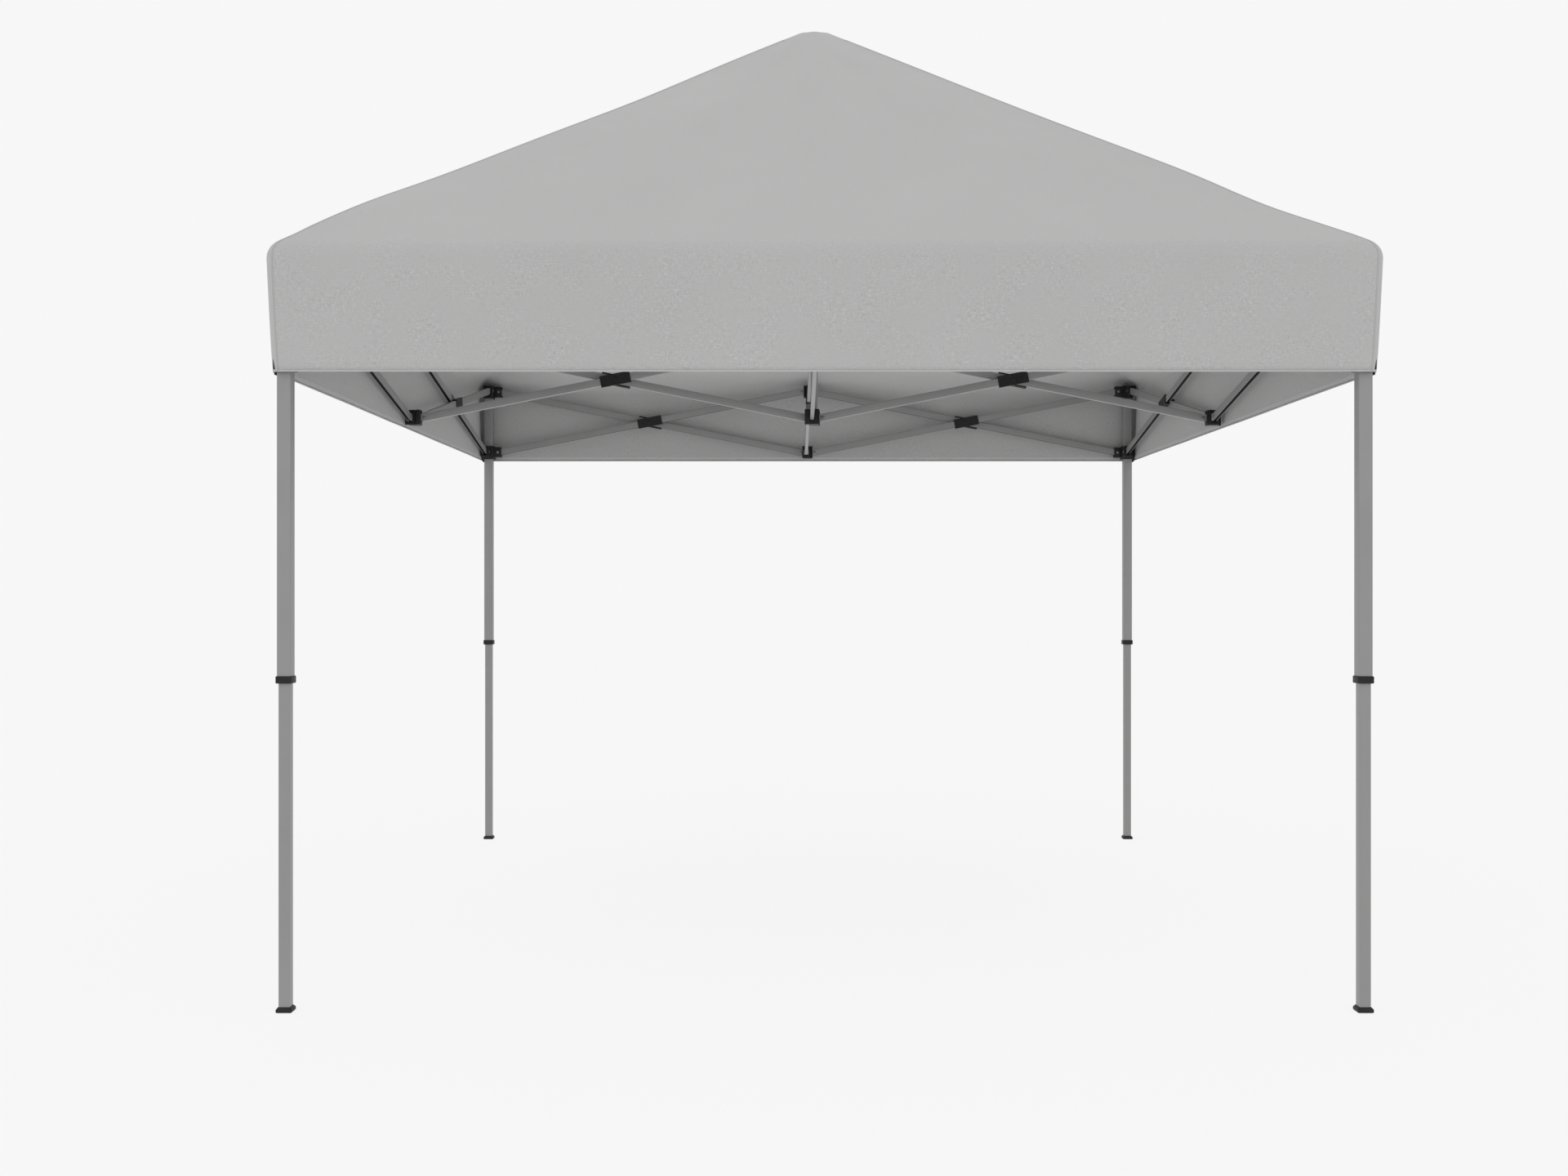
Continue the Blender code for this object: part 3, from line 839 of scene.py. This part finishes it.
class CANOPY_OT_cloth(bpy.types.Operator):
    """Make the fabric roof and valance as one continuous sheet, with its bindings and patch."""

    bl_idname = "canopy.cloth"
    bl_label = "Canopy cloth"

    def execute(self, context):
        sizes = context.scene.canopy_sizes
        cloth = Cloth(sizes)
        lift = sizes.thickness / 2 + 0.0004
        points, faces, u, v = cloth.with_peak(0, 0.0)
        obj = sew("canopy_fabric", points, faces, "fabric", sizes.thickness, u, v, cloth.girth)
        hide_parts("canopy_cover")
        trims = [self.hem(cloth, lift), self.patch(cloth, lift)]
        trims += [self.hip_tape(cloth, lift, k) for k in range(4)]
        self.declare(obj, cloth, trims)
        return {"FINISHED"}

    def hem(self, cloth, lift):
        """The hem's folded edge: just up the inside, under, and just up the outside."""
        columns = np.arange(cloth.grid.shape[1])
        inside, outside = (cloth.lifted([0], columns, way * lift)[0] for way in (-1, 1))
        rise = np.array([0, 0, HEM_FOLD])
        rings = [inside + rise, inside, cloth.grid[0] - [0, 0, 0.0007], outside, outside + rise]
        points, faces = skin(rings)
        across = np.array([0.0, HEM_FOLD, 0.005, 0.006, 0.006 + HEM_FOLD])
        u = np.tile(cloth.u, len(rings))
        v = np.repeat(across, len(columns))
        return sew("valance_hem", points, faces, "binding", 0.0006, u, v, cloth.girth)

    def patch(self, cloth, lift):
        """The second layer between the roof and the pole's end."""
        points, faces, u, v = cloth.with_peak(cloth.patch_row, -lift - 0.0006)
        v = v - cloth.v[cloth.patch_row, 0]
        return sew("peak_patch", points, faces, "binding", 0.0008, u, v, cloth.girth)

    def hip_tape(self, cloth, lift, k):
        """The seam tape down one hip, from the peak patch over the eave to the hem."""
        side = Cloth.STRAIGHT + Cloth.CORNER
        middle = k * side + Cloth.STRAIGHT + Cloth.CORNER // 2
        columns = (middle + np.arange(-2, 3)) % cloth.grid.shape[1]
        rows = np.arange(0, cloth.patch_row + 2)
        points = cloth.lifted(rows, columns, lift).reshape(-1, 3)
        faces = grid_faces(len(rows), 5, False)
        u = cloth.v[np.ix_(rows, columns)].ravel()
        v = np.tile(np.array([0.0, 0.0078, 0.0156, 0.0078, 0.0]), len(rows))
        return sew("hip_tape_%d" % (k + 1), points, faces, "binding", 0.0006, u, v)

    def declare(self, obj, cloth, trims):
        """Does nothing: the sheet's cut, four roof panels and a strip of valance, is not given
        here.
        """


# ---- frame ----
OUTER_TUBE = 0.038      # width of the outer legs
INNER_TUBE = 0.031      # width of the inner legs
TUBE_WALL = 0.0015
BAR_WIDE = 0.014        # section of the truss bars
BAR_TALL = 0.028
BAR_CORNER = 0.0022
BAR_END = 0.014         # from a bar's pivot to its rounded end
SLEEVE_LENGTH = 0.110
RIVET = 0.0062          # radius of the rivet heads
SLOT = 0.0150           # slot between the cheeks of a bracket
CHEEK = 0.0105          # thickness of the moulded cheeks
PLATE = 0.0022          # thickness of the steel cheek plates
WEB = 0.0150            # from a pivot to the web that joins the cheeks
POLE_BORE = 0.0131      # radius of the hubs' bore
CAP_WIDE = 0.046        # outside of the leg caps
RUNNER_WIDE = 0.054     # outside and bore of the sliders
RUNNER_BORE = 0.046
MIDDLE_WIDE = 0.030     # outside of the middle brackets' core
HUB_WIDE = 0.0312       # outside of the hubs
CORNER_ARM = 0.0585     # from a leg's axis to the end of a moulded arm
CORNER_TALL = 0.046     # height of the arms at the legs
ARM_TALL = 0.055        # height of the arms at the middle brackets and hubs
BRACKET_FINISHES = ("plastic", "steel", "coat")


def corner_axis(corner):
    """The axis of a leg, as a point on the ground."""
    sx, sy = CORNERS[corner]
    return np.array([sx * SPAN, sy * SPAN, 0.0])


def direction(yaw):
    """Outward and sideways unit vectors of a bar that runs out along yaw."""
    turn = math.radians(yaw)
    out = np.array([math.cos(turn), math.sin(turn), 0.0])
    return out, np.array([-out[1], out[0], 0.0])


def middle_axis(side):
    """The axis of the bracket half way along a side, as a point on the ground."""
    return SPAN * direction(MIDS[side])[0]


def yaw_from(start, end):
    """The direction from one axis to another, in degrees."""
    return math.degrees(math.atan2(end[1] - start[1], end[0] - start[0]))


class CANOPY_OT_legs(bpy.types.Operator):
    """Make the outer and inner leg tubes with their collars and feet."""

    bl_idname = "canopy.legs"
    bl_label = "Legs"

    def execute(self, context):
        corner = context.scene.canopy_sizes.tube_corner
        for name in CORNERS:
            self.tube("outer", name, "leg_" + name, OUTER_TUBE, 0.004, corner)
            self.collar(name)
            self.tube("inner", name, "inner_leg_" + name, INNER_TUBE, 0.010, corner * 0.8)
            node = "inner_leg_" + name
            base = corner_axis(name) + [0, 0, low(node)[2]]
            foot = Solid()
            foot.add(self.foot(base, high(node)[0] - low(node)[0], 0.015))
            foot.piece("leg_foot_" + name, node, ["plastic"], [node])
        return {"FINISHED"}

    def tube(self, kind, name, body, width, gap, corner):
        """One leg tube, which starts a small gap above its node's lower end."""
        bottom, top = ends(kind + "_leg_" + name)
        base = corner_axis(name) + [0, 0, bottom + gap]
        leg = Solid()
        leg.add(square_tube(base, top - bottom - gap, width, TUBE_WALL, corner))
        leg.piece(kind + "_tube_" + name, body, ["coat"])

    def collar(self, name):
        """The collar at the outer tube's lower end, with two ribs round it."""
        node = "outer_leg_" + name
        base = corner_axis(name) + [0, 0, low(node)[2]]
        wide = high(node)[0] - low(node)[0]
        collar = Solid()
        collar.add(square_ring(base, wide, square_outline(0.0316), 0.020, 0.0022))
        for height in (0.0046, 0.0136):
            rib = base + [0, 0, height]
            collar.add(square_ring(rib, wide + 0.0008, square_outline(0.0330), 0.0018, 0.0006))
        collar.piece("leg_collar_" + name, "leg_" + name, ["plastic"], [node])

    def foot(self, base, wide, height):
        """A square foot: sections that round in at the base, and slope in over the top."""
        radius = 0.0028
        a = np.linspace(0, math.pi / 2, 4)
        upper = height * np.array([0.55, 0.62, 0.95, 1.0])
        rise = np.concatenate([radius * (1 - np.cos(a)), upper])
        inset = np.concatenate([radius * (1 - np.sin(a)), [0.0, 0.0004, 0.0046, 0.0056]])
        sections = [(square_outline(wide - 2 * i, 0.0045), d) for d, i in zip(rise, inset)]
        return skin(carried(sections, base, UPRIGHT), cap=True)


class CANOPY_OT_bars(bpy.types.Operator):
    """Make the truss bars with their crossing sleeves and rivets."""

    bl_idname = "canopy.bars"
    bl_label = "Truss bars"

    def execute(self, context):
        for side, yaw in MIDS.items():
            self.pair("centre_" + side, np.zeros(3), yaw, self.tube_section())
            middle = middle_axis(side)
            for corner in SIDE_CORNERS[side]:
                out = yaw_from(middle, corner_axis(corner))
                self.pair("side_" + side + "_" + corner, middle, out, self.channel_section())
        return {"FINISHED"}

    def pair(self, name, centre, yaw, section):
        """The two bars of one crossing, with one section."""
        out, lateral = direction(yaw)
        for kind, sign in (("u", 1), ("l", -1)):
            inner_z, outer_z = (PIVOT_TOP, PIVOT_LOW)[::sign]
            away = lateral * sign
            inner = centre + out * HUB_PIVOT + away * BAR_SIDE + [0, 0, inner_z]
            outer = centre + out * OUTER_PIVOT + away * BAR_SIDE + [0, 0, outer_z]
            self.bar(name + "_" + kind, inner, outer, away, section)

    def channel_section(self):
        """The side bars' section, an arch with rounded shoulders and open below.

        Returns its points, anticlockwise, and a mask of those on the inside.
        """
        wide, tall, wall, radius = BAR_WIDE / 2, BAR_TALL / 2, 0.0012, BAR_CORNER
        a = np.linspace(0, math.pi / 2, 5)
        points, masks = [np.array([[wide, -tall]])], [False]
        for size, way in ((radius, 1), (radius - wall, -1)):
            x, y = wide - radius + size * np.cos(a), tall - radius + size * np.sin(a)
            arch = np.stack([np.append(x, -x[::-1]), np.append(y, y[::-1])], axis=1)
            points.append(arch[::way])
            masks += [way < 0] * (2 * len(a))
            if way > 0:
                points.append(np.array([[-wide, -tall], [wall - wide, -tall]]))
                masks += [False, True]
        points.append(np.array([[wide - wall, -tall]]))
        return np.concatenate(points), np.array(masks + [False])

    def tube_section(self):
        """The hub bars' section, closed all round, and a mask with nothing in it."""
        outline = rounded_outline(BAR_WIDE, BAR_TALL, BAR_CORNER)
        return outline, np.zeros(len(outline), dtype=bool)

    def sleeve_outline(self):
        """The crossing sleeve's section: a plate outside the bar with a lip over each edge."""
        top = np.array([
            (0.0110, 0.0198), (0.0098, 0.0210), (0.0062, 0.0210), (0.0050, 0.0196),
            (-0.0062, 0.0190), (-0.0070, 0.0182), (-0.0070, 0.0142), (0.0072, 0.0142),
        ])
        return np.concatenate([top, top[::-1] * [1, -1]])

    def bar(self, node, inner, outer, away, section):
        """One bar with its sleeve and rivet. away points to the pair's outside."""
        path = (outer - inner) / np.linalg.norm(outer - inner)
        up = np.array([0, 0, 1.0]) - path[2] * path
        up = up / np.linalg.norm(up)
        start = inner
        if np.dot(np.cross(away, up), path) < 0:
            path, start = -path, outer
        axes = (away, up, path)
        s = np.array([0.0, 0.0006, 0.002, 0.0045, 0.008, BAR_END])
        tall = np.maximum(np.sqrt(1 - (1 - s / BAR_END) ** 2), 0.12)
        distances = np.concatenate([s, BAR_LENGTH + 2 * BAR_END - s[::-1]]) - BAR_END
        outline, inside = section
        heights = np.concatenate([tall, tall[::-1]])
        sections = [(outline * [1, k], d) for d, k in zip(distances, heights)]
        # Faces on the channel's inside take the second finish, a dark colour painted as shade.
        slots = np.concatenate([np.tile(inside, len(sections) - 1), [False, False]])
        channel = Solid()
        channel.add(skin(carried(sections, start, axes), cap=True), slots.astype(int).tolist())
        body = node + "_bar"
        channel.piece("channel_" + node, body, ["coat", "inside"], [node])
        middle = (inner + outer) / 2
        trim = Solid()
        trim.add(self.sleeve(middle - path * SLEEVE_LENGTH / 2, axes))
        trim.add(rivet(middle + away * 0.0108, away, RIVET, 0.0020))
        trim.piece("sleeve_" + node, body, ["plastic"])

    def sleeve(self, start, axes):
        """The sleeve's section carried along the bar, its outer edges eased at both ends."""
        section = self.sleeve_outline()
        ease = 0.0008
        proud = section[:, 0] > 0.0075
        outside = (np.abs(section[:, 1]) > 0.015) | proud
        eased = section - ease * np.stack([proud, np.sign(section[:, 1]) * outside], axis=1)
        sections = [
            (eased, 0.0), (section, ease), (section, SLEEVE_LENGTH - ease), (eased, SLEEVE_LENGTH),
        ]
        return skin(carried(sections, start, axes), cap=True)


class Arm:
    """One arm of a bracket: which way it points, where its pin is, and how it is made."""

    def __init__(self, yaw, pivot, sign, moulded, tall, cheek=CHEEK):
        self.out, self.lateral = direction(yaw)
        self.pivot = pivot
        self.offset = sign * BAR_SIDE
        self.moulded = moulded
        self.tall = tall
        self.cheek = cheek


class CANOPY_OT_brackets(bpy.types.Operator):
    """Make the hubs, the middle brackets, the leg caps and the sliders."""

    bl_idname = "canopy.brackets"
    bl_label = "Brackets"

    def execute(self, context):
        for name, node in frame["nodes"].items():
            if name.startswith(("leg_button", "slider_button")):
                self.coat(node, finish("plastic"))
            elif name == "peak_pole":
                self.coat(node, finish("coat"))
        for corner in CORNERS:
            self.corner(corner)
        for side in MIDS:
            self.middle(side, True)
            self.middle(side, False)
        self.hub("hub_upper", "roof_hub", True)
        self.hub("hub_lower", "lower_hub", False)
        return {"FINISHED"}

    def coat(self, node, material):
        """Swap a node's material."""
        for slot in node.material_slots:
            slot.material = material

    def corner(self, name):
        """A leg's cap, and the slider below it."""
        sx, sy = CORNERS[name]
        axis = corner_axis(name)
        yaws = (180.0 if sx > 0 else 0.0, -90.0 if sy > 0 else 90.0)
        node = "leg_bracket_" + name
        bottom, top = ends(node)
        cap = Solid()
        base, bore = axis + [0, 0, bottom], square_outline(OUTER_TUBE + 0.0006)
        ceiling = high("outer_leg_" + name)[2] + 0.0003 - bottom
        cap.add(square_cap(base, CAP_WIDE, bore, top - bottom, ceiling, 0.003, 0.0045))
        for yaw in yaws:
            arm = Arm(yaw, LEG_PIVOT, 1, CORNER_ARM, CORNER_TALL)
            self.arm(cap, arm, axis, 0.0215, PIVOT_TOP, 1)
        cap.piece("cap_" + name, "leg_" + name, BRACKET_FINISHES, [node])
        node = "slider_" + name
        bottom, top = ends(node)
        ring = Solid()
        base, bore = axis + [0, 0, bottom + 0.008], square_outline(RUNNER_BORE)
        ring.add(square_ring(base, RUNNER_WIDE, bore, top - bottom - 0.008, 0.003))
        side = np.array([sx, 0.0, 0.0])
        axes = ((0, float(sx), 0), (0, 0, 1), side)
        centre = axis + side * 0.0295 + [0, 0, (top + bottom) / 2]
        ring.add(self.boss(centre, axes))
        housing = axis + side * 0.0255 + [0, 0, (bottom + top) / 2 - 0.003]
        ring.add(block(housing, (0.025, top - bottom + 0.002, 0.0050), 0.0016, axes))
        for yaw in yaws:
            arm = Arm(yaw, LEG_PIVOT, -1, CORNER_ARM, CORNER_TALL)
            self.arm(ring, arm, axis, 0.0258, PIVOT_LOW, -1)
        ring.piece("runner_" + name, node, BRACKET_FINISHES, [node])

    def boss(self, centre, axes):
        """The raised frame round the slider's button."""
        back, front = -0.004, 0.0024
        sections = [(round_outline(0.0056), back), (round_outline(0.0056), front)]
        for width, distance in ((0.0200, front), (0.0212, 0.0016), (0.0216, back)):
            sections.append((square_outline(width, 0.003), distance))
        return skin(carried([(o[::-1], d) for o, d in sections], centre, axes), closed=True)

    def middle(self, side, upper):
        """The bracket half way along a side."""
        node = ("mid_upper_" if upper else "mid_lower_") + side
        axis = middle_axis(side)
        bottom, top = ends(node)
        sign, height = (1, PIVOT_TOP) if upper else (-1, PIVOT_LOW)
        solid = Solid()
        centre = axis + [0, 0, (bottom + top) / 2]
        solid.add(block(centre, (MIDDLE_WIDE, MIDDLE_WIDE, top - bottom), 0.0030, UPRIGHT))
        for corner in SIDE_CORNERS[side]:
            yaw = yaw_from(axis, corner_axis(corner))
            outward = Arm(yaw, HUB_PIVOT, sign, 0.0200, ARM_TALL)
            self.arm(solid, outward, axis, 0.0145, height, sign)
        inward = Arm(MIDS[side] + 180.0, LEG_PIVOT, sign, 0.0300, ARM_TALL)
        self.arm(solid, inward, axis, 0.0145, height, sign)
        solid.piece("joint_" + node, node, BRACKET_FINISHES, [node])

    def hub(self, node, body, upper):
        """A centre hub. The upper one lets the peak pole through."""
        bottom, top = ends(node)
        sign, height = (1, PIVOT_TOP) if upper else (-1, PIVOT_LOW)
        wide, bore = HUB_WIDE, round_outline(POLE_BORE)
        solid = Solid()
        if upper:
            solid.add(square_ring([0, 0, bottom], wide, bore, top - bottom, 0.002))
        else:
            pole = low("peak_pole")[2]
            seat = pole - 0.002
            centre = [0, 0, (bottom + pole) / 2]
            solid.add(block(centre, (wide, wide, pole - bottom), 0.0015, UPRIGHT))
            solid.add(square_ring([0, 0, seat], wide, bore, top - seat, 0.0015))
        for side, yaw in MIDS.items():
            moulded, cheek = (0.0445, 0.0190) if side == "front" else (0.0185, 0.0050)
            arm = Arm(yaw, HUB_PIVOT, sign, moulded, ARM_TALL, cheek)
            self.arm(solid, arm, np.zeros(3), 0.0150, height, sign)
        solid.piece("joint_" + node, body, BRACKET_FINISHES, [node])

    def arm(self, solid, arm, axis, face, height, opens):
        """Two cheeks with a web across their closed side, steel plates beyond them, and a pin.

        opens is 1 where the slot opens downwards, and -1 where it opens upwards.
        """
        axes = (arm.lateral, (0, 0, 1), arm.out)
        line = axis + arm.lateral * arm.offset + [0, 0, height]
        reach = (face + arm.moulded) / 2
        length = arm.moulded - face
        for way in (-1, 1):
            centre = line + arm.lateral * way * (SLOT + arm.cheek) / 2 + arm.out * reach
            solid.add(block(centre, (arm.cheek, arm.tall, length), 0.0022, axes))
        thick = arm.tall / 2 - WEB
        web = line + arm.out * reach + [0, 0, opens * (WEB + thick / 2)]
        solid.add(block(web, (SLOT + 0.004, thick, length), 0.0016, axes))
        plated = arm.moulded < arm.pivot
        half = (SLOT / 2 + PLATE) if plated else (SLOT / 2 + arm.cheek)
        pin = line + arm.out * arm.pivot
        for way in (-1, 1):
            if plated:
                inner = pin + arm.lateral * way * (SLOT + PLATE) / 2
                solid.add(self.plate(inner, arm.pivot - arm.moulded + 0.002, arm), 2)
            solid.add(rivet(pin + arm.lateral * way * half, arm.lateral * way, RIVET, 0.0022), 1)
        span = SLOT / 2 + 0.001
        shank = [(0, -span), (0.0035, -span), (0.0035, span), (0, span)]
        solid.add(lathe(shank, pin, arm.lateral, 12), 1)

    def plate(self, centre, back, arm):
        """A steel cheek plate: a strap with a half round end about the pin, carried sideways."""
        radius, ease = 0.0125, 0.0003
        a = np.linspace(-math.pi / 2, math.pi / 2, 13)
        nose = np.stack([radius * np.cos(a), radius * np.sin(a)], axis=1)
        outline = np.concatenate([[[-back, -radius]], nose, [[-back, radius]]])
        path = -arm.lateral
        axes = (arm.out, (0, 0, 1), path)
        start = centre - path * PLATE / 2
        eased = outline * (1 - ease / radius)
        sections = [(eased, 0.0), (outline, ease), (outline, PLATE - ease), (eased, PLATE)]
        return skin(carried(sections, start, axes), cap=True)


# ---- stage ----
class CANOPY_OT_stage(bpy.types.Operator):
    """Make the floor, the lights and the camera."""

    bl_idname = "canopy.stage"
    bl_label = "Stage"

    def execute(self, context):
        self.floor()
        self.lights(context)
        self.camera(context)
        return {"FINISHED"}

    def floor(self):
        """A plain pale floor as wide as the view, a flat grid just under the feet."""
        grid = np.linspace(-180, 180, 21)
        x, y = np.meshgrid(grid, grid)
        points = np.stack([x, y, np.full_like(x, -0.0004)], axis=-1).reshape(-1, 3)
        obj = new_piece("floor", points, grid_faces(21, 21, False), [finish("floor")])
        obj.visible_diffuse = False

    def lights(self, context):
        """An even surround, paler above than below, and two large soft lamps in front."""
        world = bpy.data.worlds.new("surround")
        context.scene.world = world
        world.use_nodes = True
        background = world.node_tree.nodes["Background"]
        tree = Nodes(world.node_tree)
        height = tree.split(tree.add("ShaderNodeTexCoord", out="Generated"))[2]
        strength = tree.between(height, -0.09, -0.04, LOWER_LIGHT, BACKDROP)
        strength = strength + tree.between(height, -1.0, -0.09, NADIR_LIGHT, 0.0)
        tree.put(background.inputs["Strength"], strength)
        tree.put(background.inputs["Color"], (1.0, 1.0, 1.0, 1.0))
        for name, place, power in (
            ("key", (-4.0, -6.5, 8.5), 70.0), ("fill", (5.0, -6.5, 8.0), 35.0),
        ):
            lamp = bpy.data.lights.new(name, "AREA")
            lamp.shape = "DISK"
            lamp.size = 5.0
            lamp.energy = power
            obj = bpy.data.objects.new(name, lamp)
            obj.location = place
            aim = np.array([0, 0, 1.6]) - np.array(place)
            obj.rotation_euler = Vector(aim).to_track_quat("-Z", "Y").to_euler()
            context.scene.collection.objects.link(obj)

    def camera(self, context):
        """A level camera in front, a little left of the middle."""
        sizes = context.scene.canopy_sizes
        data = bpy.data.cameras.new("camera")
        data.sensor_width = 36.0
        data.lens = 35.9
        data.clip_end = 600.0
        obj = bpy.data.objects.new("camera", data)
        obj.location = (-0.11, -(SPAN + sizes.eye_distance), sizes.eye_height)
        obj.rotation_euler = (math.pi / 2, 0.0, 0.0)
        context.scene.collection.objects.link(obj)
        context.scene.camera = obj
        context.scene.view_settings.view_transform = "Standard"
        context.scene.view_settings.look = "None"


STEPS = (CANOPY_OT_stage, CANOPY_OT_cloth, CANOPY_OT_legs, CANOPY_OT_bars, CANOPY_OT_brackets)


class CANOPY_PT_panel(bpy.types.Panel):
    """Lists the canopy's settings and the steps that build it."""

    bl_idname = "CANOPY_PT_panel"
    bl_label = "Pop up canopy"
    bl_space_type = "VIEW_3D"
    bl_region_type = "UI"
    bl_category = "Canopy"

    def draw(self, context):
        for group in (context.scene.canopy_sizes, context.scene.canopy_colours):
            for key in group.__annotations__:
                self.layout.prop(group, key)
        for step in STEPS:
            self.layout.operator(step.bl_idname)


CLASSES = (CanopyColours, CanopySizes, *STEPS, CANOPY_PT_panel)


def register():
    """Add the classes and the scene's settings."""
    for item in CLASSES:
        bpy.utils.register_class(item)
    bpy.types.Scene.canopy_colours = bpy.props.PointerProperty(type=CanopyColours)
    bpy.types.Scene.canopy_sizes = bpy.props.PointerProperty(type=CanopySizes)


def unregister():
    """Remove what register added."""
    del bpy.types.Scene.canopy_sizes
    del bpy.types.Scene.canopy_colours
    for item in reversed(CLASSES):
        bpy.utils.unregister_class(item)


def main():
    """Register the classes and build every piece in order."""
    register()
    for step in STEPS:
        group, call = step.bl_idname.split(".")
        getattr(getattr(bpy.ops, group), call)()


if __name__ == "__main__":
    main()
